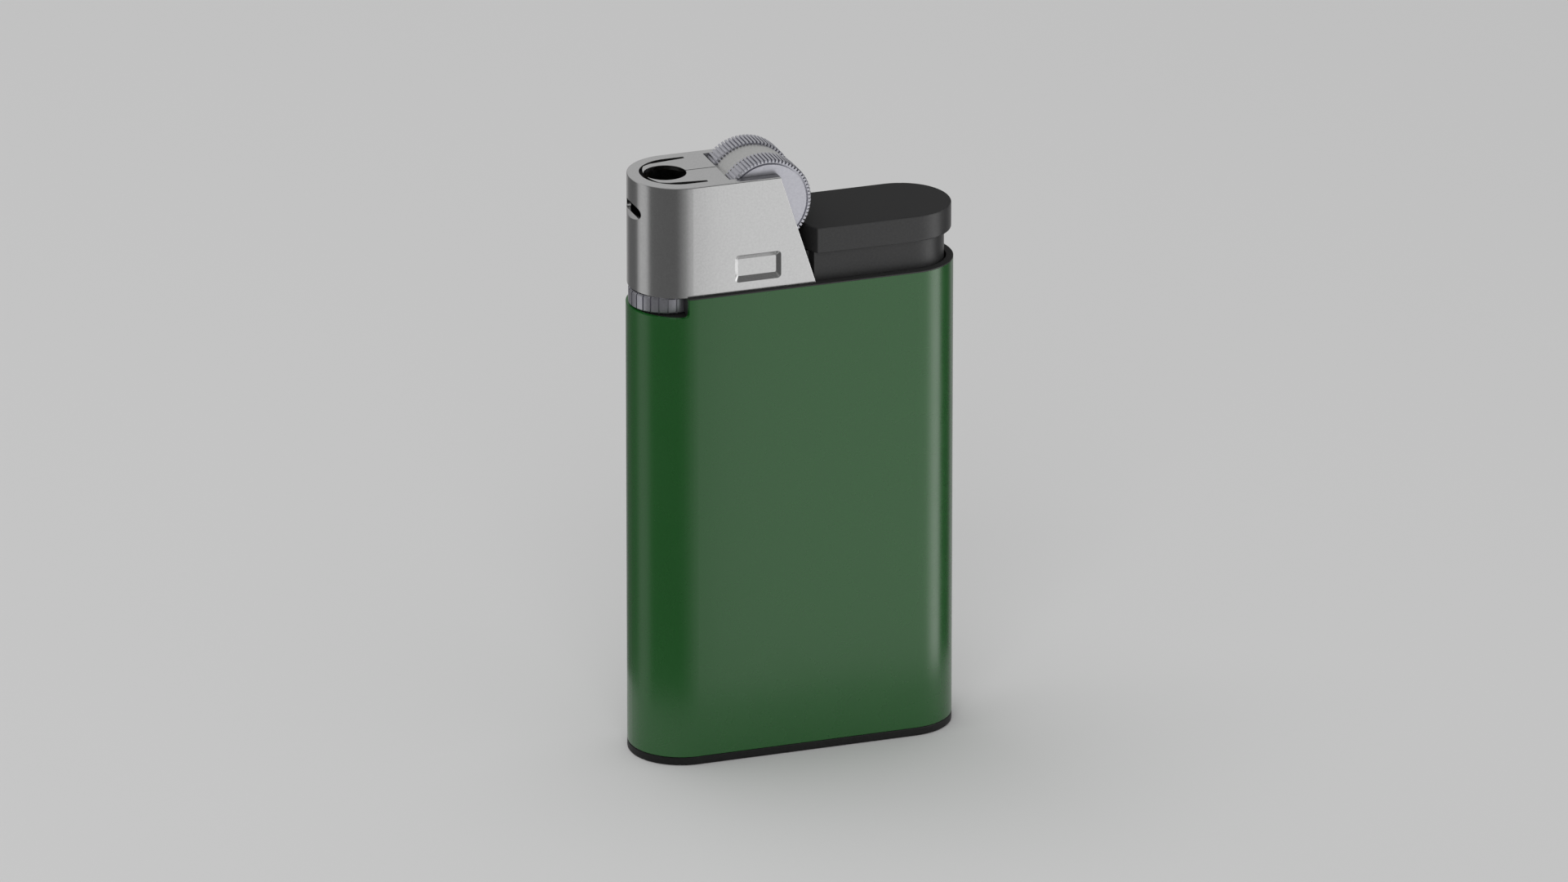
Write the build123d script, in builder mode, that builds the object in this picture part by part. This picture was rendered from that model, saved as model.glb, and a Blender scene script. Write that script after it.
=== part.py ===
from build123d import *
import os
from math import atan2, cos, degrees, radians, sin, sqrt

# A pocket gas lighter. Millimetres, +Z up, origin at the middle of the base.
# The flame end is at -X, the thumb end at +X and the wheel axle runs along Y.

# Fits
running_clearance = 0.05
seat_clearance = 0.05
loose_clearance = 0.2
press_clearance = 0.01

# Body outline, shared by the base plug and the collar flange.
# A nose arc is wider than the half width by the excess, and a corner arc narrower by the drop.
body_half_length = 16.6
body_half_width = 5.38
body_nose_excess = 1.47
body_corner_drop = 0.13

# Body shell
base_thickness = 0.84
body_top = 48.66
body_wall = 1.0
body_rim_wall = 0.5
body_edge_radius = 0.12
web_thickness = 0.8
web_setback = 3.0

# Notch in the body for the flame adjuster
notch_depth = 1.91
notch_reach = 0.55
notch_corner_radius = 0.45

# Base plug
base_spigot = 2.4
base_edge_radius = 0.2
fill_setback = 7.6
fill_ball_radius = 1.0
fill_hole_radius = 0.7
fill_seat_height = 1.0

# Collar
plug_depth = 6.1
rim_depth = 3.6
flange_thickness = 0.12
cheek_thickness = 0.52
cheek_base_height = 3.5
cheek_front_margin = 1.3
cheek_slope_run = 1.9
cheek_setback = 0.45
rib_thickness = 0.8
rib_web = 1.2
rib_height = 3.0

# Hood
hood_end_step = 0.1
hood_side_step = 0.42
hood_nose_excess = 1.34
hood_corner_drop = 0.11
hood_sheet = 0.4
hood_edge_radius = 0.15
hood_rim_radius = 0.1
hood_rear_top_reach = 0.98
hood_rear_bottom_gap = 0.14
slot_front_gap = 0.6
slot_side_gap = 0.08
flame_hole_radius = 2.1
flame_hole_lead = 0.1
seam_width = 0.14
slit_inset = 1.2
slit_reach = 3.15
slit_side_width = 0.4
flap_rim = -0.05
flap_nose_taper = 0.96
flap_nose_sag = 0.62
flap_shoulder_run = 0.8
flap_shoulder_rise = 0.45
flap_corner_radius = 0.8
vent_drop = 3.29
vent_length = 4.24
vent_height = 1.0
vent_lip = 0.34
vent_lip_angle = 45
recess_setback = 1.38
recess_rise = 2.39
recess_length = 4.74
recess_height = 2.82
recess_side_slope = 0.4
recess_end_slope = 0.55
recess_depth = 0.38
recess_corner_radius = 0.4
recess_floor_corner_radius = 0.15
recess_margin = 0.2

# Wheels
wheel_from_valve = 9.13
wheel_radius = 4.48
wheel_above_hood = 1.54
wheel_arm_gap = 1.12
wheel_side_gap = 0.11
wheel_tube_gap = 0.09
wheel_teeth = 72
wheel_groove_width = 0.17
wheel_groove_depth = 0.3
wheel_edge_chamfer = 0.1
wheel_ring_inset = 0.34
wheel_ring_width = 0.18
wheel_ring_depth = 0.35
spark_side_gap = 0.24
spark_drop = 0.62
spark_hub_radius = 1.8
spark_teeth = 36
spark_tooth_side = 0.32
axle_radius = 0.75

# Guard band over the spark wheel
band_drop = 0.26
band_thickness = 0.3
band_side_gap = 0.09
band_rear_angle = -38
band_tab_length = 2.6

# Flint
flint_radius = 1.15
flint_length = 4.0
flint_gap = 0.05
flint_tube_wall = 0.25
flint_tube_length = 23.3
flint_tube_drop = 0.6
flint_tower_drop = 1.5
flint_tower_wall = 0.4
flint_spring_wire = 0.2
flint_spring_seat = 0.3
flint_spring_turns = 14

# Flame adjuster and valve
ring_radius = 3.72
ring_front_step = 0.03
ring_height = 1.7
ring_ribs = 27
ring_groove_width = 0.16
ring_groove_depth = 0.22
ring_edge_chamfer = 0.18
valve_stem_outer = 1.5
valve_sleeve_outer = 1.9
valve_length = 8.5
valve_above_ring = 1.0
chamber_radius = 1.15
chamber_above_ring_foot = 0.4
stem_radius = 0.6
gasket_drop = 1.0
gasket_section = 0.18
stem_seal_section = 0.24
membrane_thickness = 0.3
washer_thickness = 0.4
washer_bore = 0.4
wick_socket = 2.0
seat_pad_thickness = 0.28
jet_head_height = 0.5
jet_flange_height = 0.5
jet_flange_radius = 1.7
jet_nozzle_length = 2.2
jet_tip_radius = 0.7
jet_root_radius = 1.0
jet_bore_radius = 0.25
valve_spring_radius = 0.85
valve_spring_wire = 0.12
valve_spring_turns = 4
wick_radius = 0.95
wick_bottom = 5.0

# Thumb lever
lever_end_step = 0.2
lever_side_step = 0.4
lever_nose_excess = 1.02
lever_corner_drop = 0.13
pad_rise = 2.98
pad_thickness = 2.62
pad_edge_radius = 0.12
pad_front_gap = 0.12
pad_wheel_gap = 0.14
skirt_inset = 0.7
skirt_sink = 0.38
skirt_front_step = 0.12
skirt_front_sag = 0.45
pivot_from_valve = 4.15
pivot_radius = 0.6
arm_side_gap = 0.15
arm_thickness = 1.25
arm_rise = 0.62
arm_height = 2.2
arm_root = 2.0
prong_half_length = 0.5
prong_gap = 0.12
prong_height = 0.9
prong_inner = 0.8
flange_above_arm_foot = 1.5
well_depth = 3.38
well_front_gap = 0.5
well_front_sag = 0.4
channel_length = 5.1
channel_depth = 0.8
lever_spring_setback = 6.9
lever_spring_radius = 1.5
lever_spring_wire = 0.22
lever_spring_turns = 6
lever_spring_well = 2.2
lever_spring_pocket_roof = 1.16

# Heights that follow from the ones above
body_plug_bottom = body_top - plug_depth
rim_floor = body_top - rim_depth
deck_z = body_top + flange_thickness
notch_floor = body_top - notch_depth
pocket_floor = notch_floor - seat_clearance
pad_bottom = deck_z + pad_rise
pad_top = pad_bottom + pad_thickness
skirt_bottom = deck_z - skirt_sink
arm_bottom = deck_z + arm_rise
arm_top = arm_bottom + arm_height
pivot_z = (arm_bottom + arm_top) / 2
wheel_z = arm_top + wheel_arm_gap + wheel_radius
hood_top = wheel_z + wheel_radius - wheel_above_hood
well_floor = deck_z - well_depth
lever_spring_seat = well_floor - lever_spring_well
lever_spring_top = pad_bottom - lever_spring_pocket_roof
cheek_top = hood_top - hood_sheet - loose_clearance
cheek_base_top = deck_z + cheek_base_height
vent_z = hood_top - vent_drop
recess_z = deck_z + recess_rise
ring_bottom = notch_floor + seat_clearance
ring_top = ring_bottom + ring_height
valve_top = ring_top + valve_above_ring
valve_bottom = valve_top - valve_length
chamber_top = ring_bottom + chamber_above_ring_foot
gasket_z = ring_bottom - gasket_drop
washer_bottom = valve_bottom + wick_socket
membrane_bottom = washer_bottom + washer_thickness
membrane_top = membrane_bottom + membrane_thickness
seat_pad_bottom = membrane_top + seat_clearance / 2
jet_head_bottom = seat_pad_bottom + seat_pad_thickness
jet_head_top = jet_head_bottom + jet_head_height
jet_flange_z = arm_bottom + flange_above_arm_foot
jet_tip_z = jet_flange_z + jet_flange_height + jet_nozzle_length
stem_seal_bottom = chamber_top - 2 * stem_seal_section

# Widths across Y and radii
hood_half_width = body_half_width - hood_side_step
lever_half_width = body_half_width - lever_side_step
cheek_outer = hood_half_width - hood_sheet - seat_clearance
cheek_inner = cheek_outer - cheek_thickness
wheel_outer_face = cheek_inner - wheel_side_gap
flint_tube_inner = flint_radius + running_clearance
flint_tube_outer = flint_tube_inner + flint_tube_wall
wheel_inner_face = flint_tube_outer + wheel_tube_gap
slot_half_width = wheel_outer_face + slot_side_gap
rod_half_length = cheek_outer - seat_clearance
spark_half_width = wheel_inner_face - spark_side_gap
band_half_width = wheel_inner_face - band_side_gap
band_radius = wheel_radius - band_drop
band_inner = band_radius - band_thickness
spark_radius = band_inner - spark_drop
tower_radius = flint_tube_outer + flint_tower_wall
arm_inner = tower_radius + loose_clearance
arm_outer = arm_inner + arm_thickness
cheek_base_inner = arm_outer + arm_side_gap

# Flint stack under the spark wheel
spark_bottom = wheel_z - spark_radius
flint_top = spark_bottom - flint_gap
flint_bottom = flint_top - flint_length
flint_tube_top = spark_bottom - flint_tube_drop
flint_tube_bottom = flint_tube_top - flint_tube_length
tower_top = spark_bottom - flint_tower_drop

# Stations along X
hood_half_length = body_half_length - hood_end_step
lever_half_length = body_half_length - lever_end_step
valve_x = ring_radius + ring_front_step - hood_half_length
notch_x = valve_x + notch_reach
hole_x = valve_x - flame_hole_lead
pivot_x = valve_x + pivot_from_valve
wheel_x = valve_x + wheel_from_valve
hood_rear_top_x = wheel_x + hood_rear_top_reach
hood_rear_bottom_x = wheel_x + wheel_radius + hood_rear_bottom_gap
slot_front_x = wheel_x - sqrt(wheel_radius**2 - (hood_top - wheel_z) ** 2) - slot_front_gap
slit_end_x = hole_x + slit_reach
flap_front_x = hole_x - flame_hole_radius - flap_rim
flap_rear_half_width = hood_half_width - slit_inset - slit_side_width
flap_nose_half_width = flap_rear_half_width - flap_nose_taper
recess_x = wheel_x - recess_setback
cheek_front_x = pivot_x - cheek_front_margin
band_leg_x = wheel_x + band_inner * cos(radians(band_rear_angle))
pad_front_corner_x = hood_rear_bottom_x + pad_front_gap
wheel_rear_x = wheel_x + sqrt(wheel_radius**2 - (wheel_z - pad_top) ** 2)
pad_front_middle_x = max(wheel_rear_x, band_leg_x + band_thickness) + pad_wheel_gap
skirt_front_corner_x = pad_front_corner_x - skirt_front_step
skirt_front_middle_x = skirt_front_corner_x - skirt_front_sag
well_front_corner_x = skirt_front_corner_x - well_front_gap
well_front_middle_x = well_front_corner_x - well_front_sag
lever_spring_x = lever_half_length - lever_spring_setback
fill_x = body_half_length - fill_setback
web_x = hood_rear_bottom_x + web_setback


def blended_outline(half_length, half_width, nose_excess, corner_drop, inset=0.0):
    """A flat-sided closed outline whose two ends are a nose arc between two corner arcs."""
    length = half_length - inset
    width = half_width - inset
    nose = width + nose_excess
    corner = width - corner_drop
    reach = sqrt((nose_excess + corner_drop) ** 2 - corner_drop**2)
    corner_x = length - nose + reach
    turn = degrees(atan2(corner_drop, reach))
    with BuildLine() as edge:
        CenterArc((length - nose, 0), nose, -turn, 2 * turn)
        CenterArc((corner_x, corner_drop), corner, turn, 90 - turn)
        Line((corner_x, width), (-corner_x, width))
        CenterArc((-corner_x, corner_drop), corner, 90, 90 - turn)
        CenterArc((nose - length, 0), nose, 180 - turn, 2 * turn)
        CenterArc((-corner_x, -corner_drop), corner, 180 + turn, 90 - turn)
        Line((-corner_x, -width), (corner_x, -width))
        CenterArc((corner_x, -corner_drop), corner, 270, 90 - turn)
    make_face(edge.edges())


def body_outline(inset=0.0):
    blended_outline(body_half_length, body_half_width, body_nose_excess, body_corner_drop, inset)


def hood_outline(inset=0.0):
    blended_outline(hood_half_length, hood_half_width, hood_nose_excess, hood_corner_drop, inset)


def lever_outline(front_corner_x, front_middle_x, inset=0.0):
    """The thumb end of the outline, closed at the front by a shallow convex arc."""
    width = lever_half_width - inset
    blended_outline(lever_half_length, lever_half_width, lever_nose_excess, lever_corner_drop, inset)
    with BuildLine(mode=Mode.PRIVATE) as front:
        ThreePointArc((front_corner_x, -width), (front_middle_x, 0), (front_corner_x, width))
        Polyline(
            (front_corner_x, width),
            (front_corner_x, 2 * width),
            (-2 * lever_half_length, 2 * width),
            (-2 * lever_half_length, -2 * width),
            (front_corner_x, -2 * width),
            (front_corner_x, -width),
        )
    make_face(front.edges(), mode=Mode.SUBTRACT)


def side_plane(x, z):
    """The plane of the lighter's side view, with its origin at (x, z)."""
    return Plane(origin=(x, 0, z), x_dir=(1, 0, 0), z_dir=(0, -1, 0))


def slant_x(height):
    """X of the hood's slanted rear edge at a height."""
    rise = (height - deck_z) / (hood_top - deck_z)
    return hood_rear_bottom_x + rise * (hood_rear_top_x - hood_rear_bottom_x)


def coil(x, bottom, top, radius, wire, turns):
    """A round-wire compression spring standing on +Z, its ends inside bottom and top."""
    with BuildPart() as spring:
        with BuildLine() as path:
            helix_height = top - bottom - 2 * wire
            Helix(helix_height / turns, helix_height, radius, center=(x, 0, bottom + wire))
        with BuildSketch(path.line ^ 0):
            Circle(wire)
        sweep()
    return spring.part


def save(piece, name):
    piece.label = name
    export_step(piece, f"parts/{name}.step")


def make_body_shell():
    with BuildPart() as shell:
        with BuildSketch(Plane.XY.offset(base_thickness)):
            body_outline()
        extrude(amount=body_top - base_thickness)
        fillet(shell.edges().group_by(Axis.Z)[0], body_edge_radius)
        with BuildSketch(Plane.XY.offset(base_thickness)):
            body_outline(body_wall)
        extrude(amount=body_top - base_thickness, mode=Mode.SUBTRACT)
        with BuildSketch(Plane.XY.offset(rim_floor)):
            body_outline(body_rim_wall)
        extrude(amount=rim_depth, mode=Mode.SUBTRACT)
        web_bottom = base_thickness + base_spigot + seat_clearance
        with BuildSketch(Plane.XY.offset(web_bottom)):
            with Locations((web_x, 0)):
                Rectangle(web_thickness, 2 * body_half_width - body_wall)
        extrude(amount=body_plug_bottom - seat_clearance - web_bottom)
        with BuildSketch(Plane.XZ):
            with BuildLine():
                FilletPolyline(
                    (notch_x, body_top + 1),
                    (notch_x, notch_floor),
                    (-2 * body_half_length, notch_floor),
                    radius=notch_corner_radius,
                )
                Polyline(
                    (-2 * body_half_length, notch_floor),
                    (-2 * body_half_length, body_top + 1),
                    (notch_x, body_top + 1),
                )
            make_face()
        extrude(amount=body_half_width + 1, both=True, mode=Mode.SUBTRACT)
    return shell.part


def make_base_plug():
    with BuildPart() as plug:
        with BuildSketch():
            body_outline()
        extrude(amount=base_thickness)
        fillet(plug.edges().group_by(Axis.Z)[0], base_edge_radius)
        chamfer(plug.edges().group_by(Axis.Z)[-1], body_edge_radius / 2)
        with BuildSketch(Plane.XY.offset(base_thickness)):
            body_outline(body_wall + seat_clearance)
        extrude(amount=base_spigot)
        with BuildSketch():
            with Locations((fill_x, 0)):
                Circle(fill_hole_radius)
        extrude(amount=base_thickness + base_spigot, mode=Mode.SUBTRACT)
        with BuildSketch(Plane.XY.offset(fill_seat_height)):
            with Locations((fill_x, 0)):
                Circle(fill_ball_radius + seat_clearance)
        extrude(amount=base_thickness + base_spigot, mode=Mode.SUBTRACT)
    return plug.part


def make_fill_ball():
    with BuildPart() as ball:
        with Locations((fill_x, 0, fill_seat_height + fill_ball_radius)):
            Sphere(fill_ball_radius)
    return ball.part


def make_collar():
    with BuildPart() as collar:
        with BuildSketch(Plane.XY.offset(body_plug_bottom)):
            body_outline(body_wall + seat_clearance)
        extrude(amount=plug_depth)
        with BuildSketch(Plane.XY.offset(rim_floor)):
            body_outline(body_rim_wall + seat_clearance)
        extrude(amount=rim_depth)
        with BuildSketch(Plane.XY.offset(body_top)):
            body_outline()
        extrude(amount=flange_thickness)
        # ring pocket, open to the front through the notch
        with BuildSketch(Plane.XY.offset(pocket_floor)):
            with Locations((valve_x, 0)):
                Circle(ring_radius + loose_clearance)
            with Locations((notch_x, 0)):
                Rectangle(body_half_length, 3 * body_half_width, align=(Align.MAX, Align.CENTER))
        extrude(amount=deck_z - pocket_floor, mode=Mode.SUBTRACT)
        # lever well and the two channels that the lever arms sink into
        with BuildSketch(Plane.XY.offset(well_floor)):
            lever_outline(well_front_corner_x, well_front_middle_x, skirt_inset - loose_clearance)
        extrude(amount=deck_z - well_floor, mode=Mode.SUBTRACT)
        with BuildSketch(Plane.XY.offset(deck_z)):
            for side in (-1, 1):
                with Locations((well_front_corner_x, side * (arm_inner + arm_outer) / 2)):
                    channel_width = arm_outer - arm_inner + loose_clearance
                    Rectangle(channel_length, channel_width, align=(Align.MAX, Align.CENTER))
        extrude(amount=-channel_depth, mode=Mode.SUBTRACT)
        # cheeks that carry the axle, the lever pin and the hood
        for side in (-1, 1):
            with BuildSketch(Plane.XZ.offset(-side * cheek_inner)):
                with BuildLine():
                    Polyline(
                        (cheek_front_x, deck_z),
                        (cheek_front_x, cheek_base_top),
                        (cheek_front_x + cheek_slope_run, cheek_top),
                        (slant_x(cheek_top) - cheek_setback, cheek_top),
                        (slant_x(deck_z) - cheek_setback, deck_z),
                        close=True,
                    )
                make_face()
            extrude(amount=-side * cheek_thickness)
            with BuildSketch(Plane.XZ.offset(-side * cheek_base_inner)):
                with BuildLine():
                    Polyline(
                        (cheek_front_x, deck_z),
                        (cheek_front_x, cheek_base_top),
                        (slant_x(cheek_base_top) - cheek_setback, cheek_base_top),
                        (slant_x(deck_z) - cheek_setback, deck_z),
                        close=True,
                    )
                make_face()
            extrude(amount=-side * (cheek_outer - cheek_base_inner))
            with BuildSketch(Plane.XZ.offset(-side * cheek_outer)):
                with Locations((recess_x, recess_z)):
                    Rectangle(recess_length + 3 * recess_margin, recess_height + 3 * recess_margin)
            extrude(amount=side * (recess_depth + seat_clearance), mode=Mode.SUBTRACT)
        with BuildSketch(Plane.XZ):
            with Locations((wheel_x, wheel_z)):
                Circle(axle_radius + running_clearance)
            with Locations((pivot_x, pivot_z)):
                Circle(pivot_radius + running_clearance / 2)
        extrude(amount=body_half_width, both=True, mode=Mode.SUBTRACT)
        # flint tower, and the rib that the guard band's leg stands against
        with BuildSketch(Plane.XY.offset(deck_z)):
            with Locations((wheel_x, 0)):
                Circle(tower_radius)
        extrude(amount=tower_top - deck_z)
        rib_end = band_leg_x - seat_clearance
        with BuildSketch(Plane.XY.offset(deck_z)):
            with Locations((rib_end, 0)):
                Rectangle(rib_end - wheel_x, rib_web, align=(Align.MAX, Align.CENTER))
                Rectangle(rib_thickness, 2 * band_half_width, align=(Align.MAX, Align.CENTER))
        extrude(amount=rib_height)
        with BuildSketch(Plane.XY.offset(body_plug_bottom)):
            with Locations((wheel_x, 0)):
                Circle(flint_tube_outer + seat_clearance / 2)
            with Locations((valve_x, 0)):
                Circle(valve_sleeve_outer + running_clearance)
        extrude(amount=tower_top - body_plug_bottom, mode=Mode.SUBTRACT)
        with BuildSketch(Plane.XY.offset(lever_spring_seat)):
            with Locations((lever_spring_x, 0)):
                Circle(lever_spring_radius + 2 * lever_spring_wire)
        extrude(amount=well_floor - lever_spring_seat, mode=Mode.SUBTRACT)
    return collar.part


def make_hood():
    inner_top = hood_top - hood_sheet
    with BuildPart() as hood:
        with BuildSketch(Plane.XY.offset(deck_z)):
            hood_outline()
        extrude(amount=hood_top - deck_z)
        fillet(hood.edges().group_by(Axis.Z)[-1], hood_edge_radius)
        with BuildSketch(Plane.XY.offset(deck_z)):
            hood_outline(hood_sheet)
        extrude(amount=inner_top - deck_z, mode=Mode.SUBTRACT)
        # pressed pads behind the side recesses
        for side in (-1, 1):
            with BuildSketch(Plane.XZ.offset(-side * (hood_half_width - hood_sheet / 2))):
                with Locations((recess_x, recess_z)):
                    RectangleRounded(
                        recess_length + 2 * recess_margin,
                        recess_height + 2 * recess_margin,
                        recess_corner_radius,
                    )
            extrude(amount=side * (hood_sheet / 2 + recess_depth))
            face_centre = (recess_x, side * hood_half_width, recess_z)
            face_plane = Plane(face_centre, x_dir=(1, 0, 0), z_dir=(0, side, 0))
            with BuildSketch(face_plane):
                RectangleRounded(recess_length, recess_height, recess_corner_radius)
            with BuildSketch(face_plane.offset(-recess_depth)):
                RectangleRounded(
                    recess_length - 2 * recess_side_slope,
                    recess_height - 2 * recess_end_slope,
                    recess_floor_corner_radius,
                )
            loft(mode=Mode.SUBTRACT)
        # slanted rear edge, wheel slot and flame hole
        with BuildSketch(Plane.XZ):
            with BuildLine():
                Polyline(
                    (slant_x(deck_z - 1), deck_z - 1),
                    (slant_x(hood_top + 1), hood_top + 1),
                    (2 * hood_half_length, hood_top + 1),
                    (2 * hood_half_length, deck_z - 1),
                    close=True,
                )
            make_face()
        extrude(amount=2 * hood_half_width, both=True, mode=Mode.SUBTRACT)
        side_edges = hood.edges().filter_by(GeomType.LINE).group_by(lambda edge: abs(edge.center().Y))[-1]
        fillet(side_edges.filter_by(lambda edge: 0.1 < abs((edge % 0.5).X) < 0.9), hood_rim_radius)
        with BuildSketch(Plane.XY.offset(inner_top)):
            with Locations((slot_front_x, 0)):
                Rectangle(hood_half_length, 2 * slot_half_width, align=(Align.MIN, Align.CENTER))
            with Locations((hole_x, 0)):
                Circle(flame_hole_radius)
            with Locations((slot_front_x, 0)):
                Rectangle(slot_front_x - hole_x, seam_width, align=(Align.MAX, Align.CENTER))
        extrude(amount=hood_sheet, mode=Mode.SUBTRACT)
        # curved slit round the flame hole
        with BuildSketch(Plane.XY.offset(inner_top)):
            hood_outline(slit_inset)
            with Locations((slit_end_x, 0)):
                rear_side = (Align.MIN, Align.CENTER)
                Rectangle(3 * hood_half_length, 3 * hood_half_width, align=rear_side, mode=Mode.SUBTRACT)
            nose_x = flap_front_x + flap_nose_sag
            flap_rear_x = slit_end_x + loose_clearance
            with BuildLine(mode=Mode.PRIVATE) as flap:
                ThreePointArc(
                    (nose_x, -flap_nose_half_width),
                    (flap_front_x, 0),
                    (nose_x, flap_nose_half_width),
                )
                FilletPolyline(
                    (nose_x, flap_nose_half_width),
                    (nose_x + flap_shoulder_run, flap_nose_half_width + flap_shoulder_rise),
                    (flap_rear_x, flap_rear_half_width),
                    radius=flap_corner_radius,
                )
                Line((flap_rear_x, flap_rear_half_width), (flap_rear_x, -flap_rear_half_width))
                FilletPolyline(
                    (flap_rear_x, -flap_rear_half_width),
                    (nose_x + flap_shoulder_run, -flap_nose_half_width - flap_shoulder_rise),
                    (nose_x, -flap_nose_half_width),
                    radius=flap_corner_radius,
                )
            make_face(flap.edges(), mode=Mode.SUBTRACT)
        extrude(amount=hood_sheet, mode=Mode.SUBTRACT)
        # front vent
        with BuildSketch(Plane.YZ.offset(-hood_half_length - 1)):
            with Locations((0, vent_z)):
                SlotOverall(vent_length, vent_height)
        extrude(amount=1 + 3 * hood_sheet, mode=Mode.SUBTRACT)
        with BuildSketch(Plane.YZ.offset(-hood_half_length)):
            with Locations((0, vent_z)):
                SlotOverall(vent_length + 2 * vent_lip, vent_height + 2 * vent_lip)
        extrude(amount=vent_lip, taper=vent_lip_angle, mode=Mode.SUBTRACT)
    return hood.part


def make_guard_band():
    turn = radians(band_rear_angle)
    rear_x = band_inner * cos(turn)
    rear_z = band_inner * sin(turn)
    tab_z = hood_top - hood_sheet - band_thickness - wheel_z
    front_x = -sqrt(band_inner**2 - tab_z**2)
    with BuildPart() as band:
        with BuildSketch(side_plane(wheel_x, wheel_z)):
            Circle(band_radius)
            Circle(band_inner, mode=Mode.SUBTRACT)
            Rectangle(3 * band_radius, 2 * band_radius, align=(Align.CENTER, Align.MAX), mode=Mode.SUBTRACT)
            with Locations((-band_radius, 0)):
                Rectangle(2 * band_radius, tab_z, align=(Align.CENTER, Align.MIN), mode=Mode.SUBTRACT)
            with BuildLine():
                CenterArc((0, 0), band_radius, band_rear_angle, -band_rear_angle)
                Line((band_radius, 0), (band_inner, 0))
                CenterArc((0, 0), band_inner, band_rear_angle, -band_rear_angle)
                Polyline(
                    (rear_x, rear_z),
                    (rear_x, deck_z - wheel_z),
                    (rear_x + band_thickness, deck_z - wheel_z),
                    (band_radius * cos(turn), band_radius * sin(turn)),
                )
            make_face()
            with Locations((front_x, tab_z)):
                Rectangle(band_tab_length, band_thickness, align=(Align.MAX, Align.MIN))
        extrude(amount=band_half_width, both=True)
    return band.part


def make_thumb_wheel(side):
    with BuildPart() as wheel:
        width = wheel_outer_face - wheel_inner_face
        hub_reach = wheel_inner_face - spark_half_width
        outer_plane = Plane((wheel_x, side * wheel_outer_face, wheel_z), x_dir=(1, 0, 0), z_dir=(0, side, 0))
        with BuildSketch(outer_plane):
            Circle(wheel_radius)
        extrude(amount=-width)
        chamfer(wheel.edges().filter_by(GeomType.CIRCLE), wheel_edge_chamfer)
        with BuildSketch(outer_plane.offset(-width)):
            Circle(spark_hub_radius)
        extrude(amount=-hub_reach)
        with BuildSketch(outer_plane):
            Circle(wheel_radius - wheel_ring_inset)
            Circle(wheel_radius - wheel_ring_inset - wheel_ring_width, mode=Mode.SUBTRACT)
        extrude(amount=-wheel_ring_depth, mode=Mode.SUBTRACT)
        with BuildSketch(outer_plane):
            with PolarLocations(wheel_radius, wheel_teeth):
                Rectangle(2 * wheel_groove_depth, wheel_groove_width)
        extrude(amount=-width, mode=Mode.SUBTRACT)
        with BuildSketch(outer_plane):
            Circle(axle_radius + press_clearance)
        extrude(amount=-width - hub_reach, mode=Mode.SUBTRACT)
    return wheel.part


def make_spark_wheel():
    with BuildPart() as wheel:
        with BuildSketch(side_plane(wheel_x, wheel_z)):
            Circle(spark_radius)
            with PolarLocations(spark_radius, spark_teeth):
                Triangle(a=spark_tooth_side, b=spark_tooth_side, c=spark_tooth_side, mode=Mode.SUBTRACT)
            Circle(axle_radius + press_clearance, mode=Mode.SUBTRACT)
        extrude(amount=spark_half_width, both=True)
    return wheel.part


def make_rod(x, z, radius, half_length):
    with BuildPart() as rod:
        with BuildSketch(side_plane(x, z)):
            Circle(radius)
        extrude(amount=half_length, both=True)
        chamfer(rod.edges().filter_by(GeomType.CIRCLE), radius / 6)
    return rod.part


def make_tube(x, bottom, top, outer, inner):
    with BuildPart() as tube:
        with BuildSketch(Plane.XY.offset(bottom)):
            with Locations((x, 0)):
                Circle(outer)
                Circle(inner, mode=Mode.SUBTRACT)
        extrude(amount=top - bottom)
    return tube.part


def make_disc(x, bottom, top, radius):
    with BuildPart() as disc:
        with BuildSketch(Plane.XY.offset(bottom)):
            with Locations((x, 0)):
                Circle(radius)
        extrude(amount=top - bottom)
    return disc.part


def make_seal(x, z, ring_mean, section):
    with BuildPart() as seal:
        with Locations((x, 0, z)):
            Torus(ring_mean, section)
    return seal.part


def make_adjuster_ring():
    with BuildPart() as ring:
        with BuildSketch(Plane.XY.offset(ring_bottom)):
            with Locations((valve_x, 0)):
                Circle(ring_radius)
        extrude(amount=ring_top - ring_bottom)
        chamfer(ring.edges().filter_by(GeomType.CIRCLE), ring_edge_chamfer)
        with BuildSketch(Plane.XY.offset(ring_bottom)):
            with Locations((valve_x, 0)):
                with PolarLocations(ring_radius, ring_ribs):
                    Rectangle(2 * ring_groove_depth, ring_groove_width)
                Circle(valve_stem_outer + seat_clearance / 2)
        extrude(amount=ring_top - ring_bottom, mode=Mode.SUBTRACT)
    return ring.part


def make_valve_body():
    groove_floor = valve_sleeve_outer - 2 * gasket_section
    groove_half_height = gasket_section + seat_clearance / 2
    shoulder = ring_bottom - seat_clearance / 2
    with BuildPart() as valve:
        with BuildSketch(side_plane(valve_x, 0)):
            with BuildLine():
                Polyline(
                    (chamber_radius, valve_bottom),
                    (valve_sleeve_outer, valve_bottom),
                    (valve_sleeve_outer, gasket_z - groove_half_height),
                    (groove_floor, gasket_z - groove_half_height),
                    (groove_floor, gasket_z + groove_half_height),
                    (valve_sleeve_outer, gasket_z + groove_half_height),
                    (valve_sleeve_outer, shoulder),
                    (valve_stem_outer, shoulder),
                    (valve_stem_outer, valve_top),
                    (stem_radius + running_clearance, valve_top),
                    (stem_radius + running_clearance, chamber_top),
                    (chamber_radius, chamber_top),
                    close=True,
                )
            make_face()
        revolve(axis=Axis((valve_x, 0, 0), (0, 0, 1)))
    return valve.part


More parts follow.
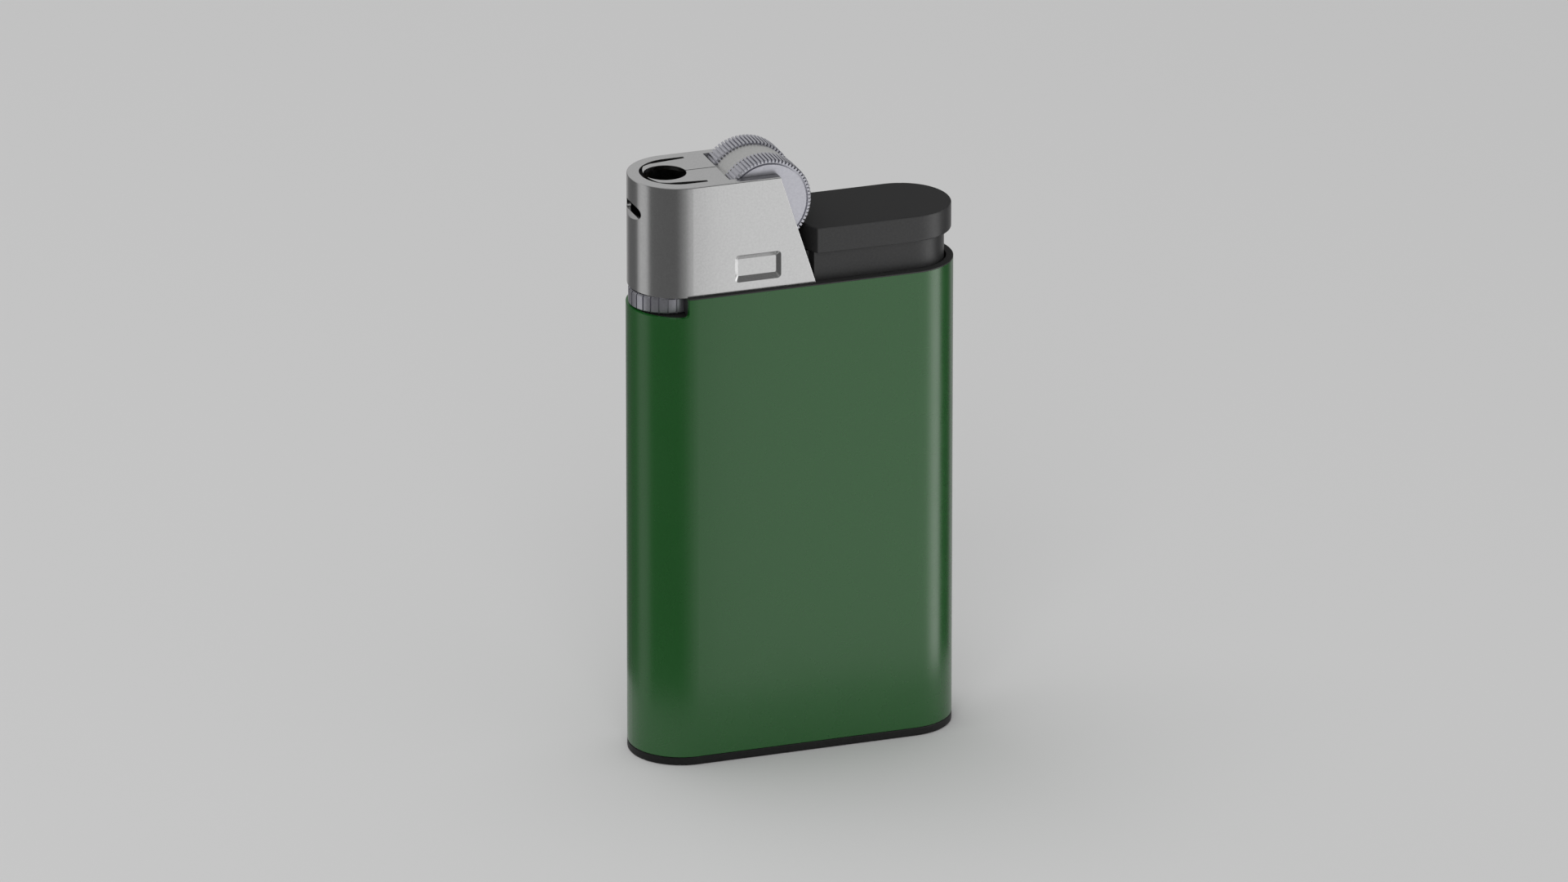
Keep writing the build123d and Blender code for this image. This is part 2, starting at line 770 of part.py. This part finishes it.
def make_jet():
    with BuildPart() as jet:
        with BuildSketch(side_plane(valve_x, 0)):
            with BuildLine():
                Polyline(
                    (0, jet_head_bottom),
                    (chamber_radius - loose_clearance / 2, jet_head_bottom),
                    (chamber_radius - loose_clearance / 2, jet_head_top),
                    (stem_radius, jet_head_top),
                    (stem_radius, jet_flange_z),
                    (jet_flange_radius, jet_flange_z),
                    (jet_flange_radius, jet_flange_z + jet_flange_height),
                    (jet_root_radius, jet_flange_z + jet_flange_height),
                    (jet_tip_radius, jet_tip_z),
                    (jet_bore_radius, jet_tip_z),
                    (jet_bore_radius, jet_head_top),
                    (0, jet_head_top),
                    close=True,
                )
            make_face()
        revolve(axis=Axis((valve_x, 0, 0), (0, 0, 1)))
    return jet.part


def make_thumb_lever():
    with BuildPart() as lever:
        with BuildSketch(Plane.XY.offset(pad_bottom)):
            lever_outline(pad_front_corner_x, pad_front_middle_x)
        extrude(amount=pad_top - pad_bottom)
        fillet(lever.edges(), pad_edge_radius)
        with BuildSketch(Plane.XY.offset(skirt_bottom)):
            lever_outline(skirt_front_corner_x, skirt_front_middle_x, skirt_inset)
        extrude(amount=pad_bottom - skirt_bottom)
        prong_top = jet_flange_z - prong_gap
        for side in (-1, 1):
            with BuildSketch(Plane.XY.offset(arm_bottom)):
                with Locations((valve_x - prong_half_length, side * (arm_inner + arm_outer) / 2)):
                    Rectangle(
                        skirt_front_corner_x + arm_root - valve_x + prong_half_length,
                        arm_outer - arm_inner,
                        align=(Align.MIN, Align.CENTER),
                    )
            extrude(amount=arm_top - arm_bottom)
            with BuildSketch(Plane.XY.offset(prong_top - prong_height)):
                with Locations((valve_x, side * (prong_inner + arm_outer) / 2)):
                    Rectangle(2 * prong_half_length, arm_outer - prong_inner)
            extrude(amount=prong_height)
        with BuildSketch(Plane.XZ):
            with Locations((pivot_x, pivot_z)):
                Circle(pivot_radius + running_clearance)
        extrude(amount=lever_half_width, both=True, mode=Mode.SUBTRACT)
        with BuildSketch(Plane.XY.offset(skirt_bottom)):
            with Locations((lever_spring_x, 0)):
                Circle(lever_spring_radius + 2 * lever_spring_wire)
        extrude(amount=lever_spring_top - skirt_bottom, mode=Mode.SUBTRACT)
    return lever.part


os.makedirs("parts", exist_ok=True)

save(make_body_shell(), "body_shell")
save(make_base_plug(), "base_plug")
save(make_fill_ball(), "fill_ball")
save(make_collar(), "collar")
save(make_hood(), "hood")
save(make_guard_band(), "guard_band")
save(make_thumb_wheel(-1), "thumb_wheel_left")
save(make_thumb_wheel(1), "thumb_wheel_right")
save(make_spark_wheel(), "spark_wheel")
save(make_rod(wheel_x, wheel_z, axle_radius, rod_half_length), "wheel_axle")
save(make_rod(pivot_x, pivot_z, pivot_radius, rod_half_length), "lever_pin")
save(make_thumb_lever(), "thumb_lever")
save(
    coil(
        lever_spring_x,
        lever_spring_seat + press_clearance,
        lever_spring_top - press_clearance,
        lever_spring_radius,
        lever_spring_wire,
        lever_spring_turns,
    ),
    "lever_spring",
)
save(make_tube(wheel_x, flint_tube_bottom, flint_tube_top, flint_tube_outer, flint_tube_inner), "flint_tube")
save(make_disc(wheel_x, flint_bottom, flint_top, flint_radius), "flint")
save(
    coil(
        wheel_x,
        flint_tube_bottom + flint_spring_seat,
        flint_bottom - press_clearance,
        flint_radius - flint_spring_wire,
        flint_spring_wire,
        flint_spring_turns,
    ),
    "flint_spring",
)
save(make_adjuster_ring(), "adjuster_ring")
save(make_valve_body(), "valve_body")
save(make_seal(valve_x, gasket_z, valve_sleeve_outer - gasket_section, gasket_section), "valve_gasket")
save(
    make_seal(
        valve_x,
        stem_seal_bottom + stem_seal_section,
        stem_radius + stem_seal_section + press_clearance,
        stem_seal_section - press_clearance,
    ),
    "stem_seal",
)
save(
    coil(
        valve_x,
        jet_head_top + press_clearance,
        stem_seal_bottom - press_clearance,
        valve_spring_radius,
        valve_spring_wire,
        valve_spring_turns,
    ),
    "valve_spring",
)
save(make_jet(), "jet")
seat_pad_radius = chamber_radius - loose_clearance
save(make_disc(valve_x, seat_pad_bottom, jet_head_bottom, seat_pad_radius), "seat_pad")
insert_radius = chamber_radius - press_clearance
save(make_disc(valve_x, membrane_bottom, membrane_top, insert_radius), "flow_membrane")
save(make_tube(valve_x, washer_bottom, membrane_bottom, insert_radius, washer_bore), "retaining_washer")
save(make_disc(valve_x, wick_bottom, washer_bottom, wick_radius), "wick")
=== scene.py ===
import bpy
from math import cos, radians, sin
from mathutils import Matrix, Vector


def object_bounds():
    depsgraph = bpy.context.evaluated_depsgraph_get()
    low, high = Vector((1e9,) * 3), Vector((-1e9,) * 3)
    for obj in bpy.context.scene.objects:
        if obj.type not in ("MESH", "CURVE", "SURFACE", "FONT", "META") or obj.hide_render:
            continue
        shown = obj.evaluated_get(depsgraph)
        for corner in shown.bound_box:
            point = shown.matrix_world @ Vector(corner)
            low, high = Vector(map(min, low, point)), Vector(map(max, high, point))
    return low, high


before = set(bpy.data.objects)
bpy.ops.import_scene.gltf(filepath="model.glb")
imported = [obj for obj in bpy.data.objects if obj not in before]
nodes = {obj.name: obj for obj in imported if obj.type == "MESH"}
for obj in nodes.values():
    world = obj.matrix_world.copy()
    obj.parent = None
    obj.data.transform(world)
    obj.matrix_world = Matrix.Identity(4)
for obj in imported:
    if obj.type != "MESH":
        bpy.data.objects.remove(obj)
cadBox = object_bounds()
scene = bpy.context.scene
print("frame loaded:", len(nodes), "nodes")

cameraView = {
    "target": (-0.000595, 0.0, 0.0307),
    "azimuth": 19.41,
    "elevation": 20.90,
    "distance": 1.5994,
    "lens": 374.85,
    "sensorWidth": 36,
    "nearClip": 0.01,
}


def makeCamera(view):
    azimuth = radians(view["azimuth"])
    elevation = radians(view["elevation"])
    level = cos(elevation)
    forward = Vector((sin(azimuth) * level, cos(azimuth) * level, -sin(elevation)))
    bpy.ops.object.camera_add(location=Vector(view["target"]) - forward * view["distance"])
    camera = bpy.context.object
    camera.rotation_euler = forward.to_track_quat("-Z", "Y").to_euler()
    camera.data.lens = view["lens"]
    camera.data.sensor_width = view["sensorWidth"]
    camera.data.clip_start = view["nearClip"]
    scene.camera = camera


makeCamera(cameraView)
scene.view_settings.view_transform = "Standard"
print("camera set")


def newGroup(name, inputs, outputs):
    group = bpy.data.node_groups.new(name, "ShaderNodeTree")
    for label, kind, value in inputs:
        socket = group.interface.new_socket(label, in_out="INPUT", socket_type=kind)
        socket.default_value = value
    for label in outputs:
        group.interface.new_socket(label, in_out="OUTPUT", socket_type="NodeSocketFloat")
    return group, group.nodes.new("NodeGroupInput"), group.nodes.new("NodeGroupOutput")


def addNoise(tree, vector, detail, roughness, distortion=0.0):
    noise = tree.nodes.new("ShaderNodeTexNoise")
    noise.inputs["Detail"].default_value = detail
    noise.inputs["Roughness"].default_value = roughness
    noise.inputs["Distortion"].default_value = distortion
    tree.links.new(vector, noise.inputs["Vector"])
    return noise


def remap(tree, value, fromLow, fromHigh, toLow=0.0, toHigh=1.0):
    node = tree.nodes.new("ShaderNodeMapRange")
    node.inputs["From Min"].default_value = fromLow
    node.inputs["From Max"].default_value = fromHigh
    node.inputs["To Min"].default_value = toLow
    node.inputs["To Max"].default_value = toHigh
    tree.links.new(value, node.inputs["Value"])
    return node.outputs["Result"]


grainPattern = {
    "size": 6000.0, "stretch": (1, 1, 1), "detail": 3, "roughness": 0.6, "low": 0.35, "high": 0.65,
}


# fine speckle of a moulded or tumbled surface
def makeGrainGroup(pattern):
    group, ins, outs = newGroup(
        "surfaceGrain",
        [
            ("Size", "NodeSocketFloat", pattern["size"]),
            ("Stretch", "NodeSocketVector", pattern["stretch"]),
        ],
        ["Height", "Mask"],
    )
    coords = group.nodes.new("ShaderNodeTexCoord")
    scale = group.nodes.new("ShaderNodeVectorMath")
    scale.operation = "MULTIPLY"
    group.links.new(coords.outputs["Object"], scale.inputs[0])
    group.links.new(ins.outputs["Stretch"], scale.inputs[1])
    noise = addNoise(group, scale.outputs["Vector"], pattern["detail"], pattern["roughness"])
    group.links.new(ins.outputs["Size"], noise.inputs["Scale"])
    group.links.new(noise.outputs["Fac"], outs.inputs["Height"])
    mask = remap(group, noise.outputs["Fac"], pattern["low"], pattern["high"])
    group.links.new(mask, outs.inputs["Mask"])
    return group


handlingPattern = {
    "size": 220.0, "detail": 5, "roughness": 0.62, "distortion": 0.6, "low": 0.42, "high": 0.72,
}


# broad patches left by handling
def makeHandlingGroup(pattern):
    inputs = [("Size", "NodeSocketFloat", pattern["size"])]
    group, ins, outs = newGroup("handlingMarks", inputs, ["Mask"])
    coords = group.nodes.new("ShaderNodeTexCoord")
    noise = addNoise(
        group, coords.outputs["Object"], pattern["detail"], pattern["roughness"],
        distortion=pattern["distortion"],
    )
    group.links.new(ins.outputs["Size"], noise.inputs["Scale"])
    mask = remap(group, noise.outputs["Fac"], pattern["low"], pattern["high"])
    group.links.new(mask, outs.inputs["Mask"])
    return group


# how steeply up a face must point to count as an upward one
upwardEdge = 0.8


# upward faces of a moulding, which are etched matt in the tool; the same mask also gives them a
# darker colour as painted shade
def makeUpwardGroup(edge):
    group, ins, outs = newGroup("upwardFaces", [("Edge", "NodeSocketFloat", edge)], ["Mask"])
    coords = group.nodes.new("ShaderNodeTexCoord")
    split = group.nodes.new("ShaderNodeSeparateXYZ")
    step = group.nodes.new("ShaderNodeMath")
    step.operation = "GREATER_THAN"
    group.links.new(coords.outputs["Normal"], split.inputs["Vector"])
    group.links.new(split.outputs["Z"], step.inputs[0])
    group.links.new(ins.outputs["Edge"], step.inputs[1])
    group.links.new(step.outputs["Value"], outs.inputs["Mask"])
    return group


grainGroup = makeGrainGroup(grainPattern)
handlingGroup = makeHandlingGroup(handlingPattern)
upwardGroup = makeUpwardGroup(upwardEdge)


def addGroup(tree, group, **values):
    node = tree.nodes.new("ShaderNodeGroup")
    node.node_tree = group
    for label, value in values.items():
        node.inputs[label].default_value = value
    return node


def addColourMix(tree, mask, first, second):
    mix = tree.nodes.new("ShaderNodeMix")
    mix.data_type = "RGBA"
    for socket, colour in ((mix.inputs["A"], first), (mix.inputs["B"], second)):
        if isinstance(colour, tuple):
            socket.default_value = (*colour, 1)
        else:
            tree.links.new(colour, socket)
    tree.links.new(mask, mix.inputs["Factor"])
    return mix.outputs["Result"]


def addValueMix(tree, mask, first, second):
    mix = tree.nodes.new("ShaderNodeMix")
    mix.inputs["B"].default_value = second
    tree.links.new(first, mix.inputs["A"])
    tree.links.new(mask, mix.inputs["Factor"])
    return mix.outputs["Result"]


finishLooks = {
    "bodyGreen": {
        "colour": (0.0050, 0.0920, 0.0095), "speckle": (0.0062, 0.0980, 0.0110),
        "roughness": (0.26, 0.30), "grainSize": 5000.0, "bump": 0.03, "edge": 0.0001,
        "sockets": {"Specular IOR Level": 0.80},
    },
    "blackPlastic": {
        "colour": (0.022, 0.022, 0.0225), "speckle": (0.030, 0.030, 0.0305),
        "roughness": (0.42, 0.48), "grainSize": 4200.0, "bump": 0.25, "edge": 0.0001,
        # painted shade: upward faces take a slightly darker black than the sides, with a real matt
        # roughness
        "upwardShadeColour": (0.019, 0.019, 0.0192), "mattRoughness": 0.97,
    },
    # base plug: a deeper black, partly the plug's own colour and partly painted shade at the foot
    # of the lighter
    "baseBlackWithShade": {
        "colour": (0.008, 0.008, 0.008), "speckle": (0.012, 0.012, 0.012),
        "roughness": (0.50, 0.56), "grainSize": 4200.0, "bump": 0.15, "edge": 0.0001,
        "sockets": {"Specular IOR Level": 0.25},
    },
    "hoodSteel": {
        "colour": (0.66, 0.66, 0.66), "speckle": (0.62, 0.62, 0.62),
        "roughness": (0.20, 0.23), "grainSize": 5200.0, "bump": 0.05, "edge": 0.00004,
        "sockets": {"Metallic": 1.0},
    },
    "wheelSteel": {
        "colour": (0.60, 0.60, 0.65), "speckle": (0.54, 0.54, 0.59),
        "roughness": (0.30, 0.36), "grainSize": 4200.0, "bump": 0.12,
        "sockets": {"Metallic": 0.9},
    },
    "bandSteel": {
        "colour": (0.65, 0.65, 0.64), "speckle": (0.59, 0.59, 0.58),
        "roughness": (0.34, 0.40), "grainSize": 4200.0, "bump": 0.10, "edge": 0.00005,
        "sockets": {"Metallic": 0.9},
    },
    "springSteel": {
        "colour": (0.50, 0.50, 0.50), "speckle": (0.42, 0.42, 0.42),
        "roughness": (0.25, 0.35), "grainSize": 9000.0, "bump": 0.08, "stretch": (1, 1, 0.2),
        "sockets": {"Metallic": 1.0},
    },
    "valveBrass": {
        "colour": (0.60, 0.43, 0.17), "speckle": (0.52, 0.36, 0.13),
        "roughness": (0.24, 0.34), "grainSize": 7000.0, "bump": 0.08, "stretch": (0.2, 0.2, 1),
        "sockets": {"Metallic": 1.0},
    },
    "sealRubber": {
        "colour": (0.016, 0.016, 0.016), "speckle": (0.022, 0.022, 0.022),
        "roughness": (0.55, 0.65), "grainSize": 6000.0, "bump": 0.12,
    },
    "wickFibre": {
        "colour": (0.72, 0.70, 0.64), "speckle": (0.58, 0.55, 0.48),
        "roughness": (0.85, 0.95), "grainSize": 5000.0, "bump": 0.5, "stretch": (1, 1, 0.1),
    },
    "flintAlloy": {
        "colour": (0.13, 0.12, 0.11), "speckle": (0.19, 0.17, 0.15),
        "roughness": (0.50, 0.62), "grainSize": 6500.0, "bump": 0.4,
        "sockets": {"Metallic": 0.6},
    },
}


surfaceRelief = {"bumpHeight": 0.00002, "edgeSamples": 6}


def makeFinish(name, look):
    material = bpy.data.materials.new(name)
    material.use_nodes = True
    tree = material.node_tree
    shader = tree.nodes["Principled BSDF"]
    for socket, value in look.get("sockets", {}).items():
        shader.inputs[socket].default_value = value
    stretch = look.get("stretch", grainPattern["stretch"])
    grain = addGroup(tree, grainGroup, Size=look["grainSize"], Stretch=stretch)
    marks = addGroup(tree, handlingGroup)
    colour = addColourMix(tree, grain.outputs["Mask"], look["colour"], look["speckle"])
    roughness = remap(tree, marks.outputs["Mask"], 0.0, 1.0, *look["roughness"])
    if "mattRoughness" in look:
        # painted shade on upward faces: a darker colour, alongside their real matt roughness
        upward = addGroup(tree, upwardGroup)
        colour = addColourMix(tree, upward.outputs["Mask"], colour, look["upwardShadeColour"])
        roughness = addValueMix(tree, upward.outputs["Mask"], roughness, look["mattRoughness"])
    tree.links.new(colour, shader.inputs["Base Color"])
    tree.links.new(roughness, shader.inputs["Roughness"])
    bump = tree.nodes.new("ShaderNodeBump")
    bump.inputs["Strength"].default_value = look["bump"]
    bump.inputs["Distance"].default_value = surfaceRelief["bumpHeight"]
    tree.links.new(grain.outputs["Height"], bump.inputs["Height"])
    if "edge" in look:
        bevel = tree.nodes.new("ShaderNodeBevel")
        bevel.samples = surfaceRelief["edgeSamples"]
        bevel.inputs["Radius"].default_value = look["edge"]
        tree.links.new(bevel.outputs["Normal"], bump.inputs["Normal"])
    tree.links.new(bump.outputs["Normal"], shader.inputs["Normal"])
    return material


piecesByFinish = {
    "bodyGreen": ["body_shell"],
    "blackPlastic": ["collar", "thumb_lever"],
    "baseBlackWithShade": ["base_plug"],
    "hoodSteel": ["hood"],
    "bandSteel": ["guard_band"],
    "wheelSteel": ["thumb_wheel_left", "thumb_wheel_right", "adjuster_ring"],
    "springSteel": [
        "spark_wheel", "wheel_axle", "lever_pin", "lever_spring", "flint_spring", "valve_spring",
        "retaining_washer", "fill_ball",
    ],
    "valveBrass": ["flint_tube", "valve_body", "jet"],
    "sealRubber": ["valve_gasket", "stem_seal", "seat_pad"],
    "wickFibre": ["flow_membrane", "wick"],
    "flintAlloy": ["flint"],
}
for finishName, pieceNames in piecesByFinish.items():
    finish = makeFinish(finishName, finishLooks[finishName])
    for pieceName in pieceNames:
        nodes[pieceName].data.materials.clear()
        nodes[pieceName].data.materials.append(finish)
print("finishes set")

studio = {
    "floorSize": 12,
    "floorColour": 0.63,
    "floorRoughness": 0.9,
    "worldStrength": 0.42,
    "backgroundStrength": 0.50,
    "lampAim": (0, 0, 0.03),
    "lamps": {
        "overhead": {"place": (-0.15, 0.15, 1.00), "size": 0.9, "power": 4.6},
        "front": {"place": (-0.35, -0.85, 0.70), "size": 0.6, "power": 2.9},
    },
}


def makeFloor(settings):
    bpy.ops.object.select_all(action="DESELECT")
    bpy.ops.mesh.primitive_plane_add(size=settings["floorSize"])
    floor = bpy.context.object
    floor.name = "floor"
    material = bpy.data.materials.new("floorPaint")
    material.use_nodes = True
    shader = material.node_tree.nodes["Principled BSDF"]
    shader.inputs["Base Color"].default_value = (*[settings["floorColour"]] * 3, 1)
    shader.inputs["Roughness"].default_value = settings["floorRoughness"]
    shader.inputs["Specular IOR Level"].default_value = 0.0
    floor.data.materials.append(material)


def makeWorld(settings):
    scene.world = bpy.data.worlds.new("studio")
    scene.world.use_nodes = True
    tree = scene.world.node_tree
    background = tree.nodes["Background"]
    background.inputs["Color"].default_value = (1, 1, 1, 1)
    rays = tree.nodes.new("ShaderNodeLightPath")
    strength = remap(
        tree, rays.outputs["Is Diffuse Ray"], 0.0, 1.0,
        settings["backgroundStrength"], settings["worldStrength"],
    )
    tree.links.new(strength, background.inputs["Strength"])


def makeLamp(name, lamp, aim):
    place = Vector(lamp["place"])
    bpy.ops.object.light_add(type="AREA", location=place)
    light = bpy.context.object
    light.name = name
    light.data.size = lamp["size"]
    light.data.energy = lamp["power"]
    light.rotation_euler = (Vector(aim) - place).to_track_quat("-Z", "Y").to_euler()
    light.visible_glossy = False


# Two reflectors stand round the object and show only in its reflections.
# Each stop is a share of a turn, from -X through -Y, and the paleness there.
reflectors = {
    "sideReflector": {
        "gap": 0.017, "bottom": 0.0, "top": 0.062, "frontOnly": False,
        "stops": [
            (0.000, 0.52), (0.010, 0.50), (0.035, 0.13), (0.195, 0.12), (0.250, 0.32),
            (0.305, 0.80), (0.425, 0.84), (0.445, 2.20), (0.464, 2.20), (0.474, 0.08),
            (0.515, 0.08), (0.530, 0.50), (0.560, 0.50), (0.600, 0.40), (0.780, 0.36),
            (0.840, 0.13), (0.925, 0.13), (0.955, 0.52),
        ],
    },
    "frontValance": {
        "gap": 0.017, "bottom": 0.062, "top": 0.085, "frontOnly": True,
        "stops": [(0.0, 0.15), (1.0, 0.15)],
    },
}


reflectorFacets = 180


def selectVertices(piece, isWanted):
    bpy.ops.object.mode_set(mode="EDIT")
    bpy.ops.mesh.select_all(action="DESELECT")
    bpy.ops.object.mode_set(mode="OBJECT")
    for vertex in piece.data.vertices:
        vertex.select = isWanted(vertex.co)
    bpy.ops.object.mode_set(mode="EDIT")


def makeReflectorPaint(name, stops, centre):
    material = bpy.data.materials.new(name)
    material.use_nodes = True
    tree = material.node_tree
    tree.nodes.clear()
    output = tree.nodes.new("ShaderNodeOutputMaterial")
    emission = tree.nodes.new("ShaderNodeEmission")
    coords = tree.nodes.new("ShaderNodeTexCoord")
    shift = tree.nodes.new("ShaderNodeMapping")
    shift.inputs["Location"].default_value = (centre, 0, 0)
    gradient = tree.nodes.new("ShaderNodeTexGradient")
    gradient.gradient_type = "RADIAL"
    ramp = tree.nodes.new("ShaderNodeValToRGB")
    tree.links.new(coords.outputs["Object"], shift.inputs["Vector"])
    tree.links.new(shift.outputs["Vector"], gradient.inputs["Vector"])
    tree.links.new(gradient.outputs["Fac"], ramp.inputs["Fac"])
    tree.links.new(ramp.outputs["Color"], emission.inputs["Color"])
    tree.links.new(emission.outputs["Emission"], output.inputs["Surface"])
    elements = ramp.color_ramp.elements
    while len(elements) < len(stops):
        elements.new(0.5)
    for element, (turn, paleness) in zip(elements, stops):
        element.position = turn
        element.color = (paleness, paleness, paleness, 1)
    return material


def makeReflector(name, settings):
    low, high = cadBox
    radius = (high[1] - low[1]) / 2 + settings["gap"]
    centre = (high[0] - low[0]) / 2 + settings["gap"] - radius
    height = settings["top"] - settings["bottom"]
    bpy.ops.object.select_all(action="DESELECT")
    bpy.ops.mesh.primitive_cylinder_add(
        vertices=reflectorFacets, radius=radius, depth=height, end_fill_type="NOTHING",
        location=(0, 0, settings["bottom"] + height / 2),
    )
    reflector = bpy.context.object
    reflector.name = name
    bpy.ops.object.transform_apply(location=True)
    selectVertices(reflector, lambda place: place.x > 0)
    bpy.ops.transform.translate(value=(centre, 0, 0))
    selectVertices(reflector, lambda place: place.x < 0)
    bpy.ops.transform.translate(value=(-centre, 0, 0))
    if settings["frontOnly"]:
        selectVertices(reflector, lambda place: place.y > 0)
        bpy.ops.mesh.delete(type="VERT")
    bpy.ops.object.mode_set(mode="OBJECT")
    reflector.data.materials.append(makeReflectorPaint(name, settings["stops"], centre))
    for ray in ("camera", "diffuse", "shadow", "transmission"):
        setattr(reflector, "visible_" + ray, False)


makeFloor(studio)
makeWorld(studio)
for lampName, lampSettings in studio["lamps"].items():
    makeLamp(lampName, lampSettings, studio["lampAim"])
for reflectorName, reflectorSettings in reflectors.items():
    makeReflector(reflectorName, reflectorSettings)
print("studio set")
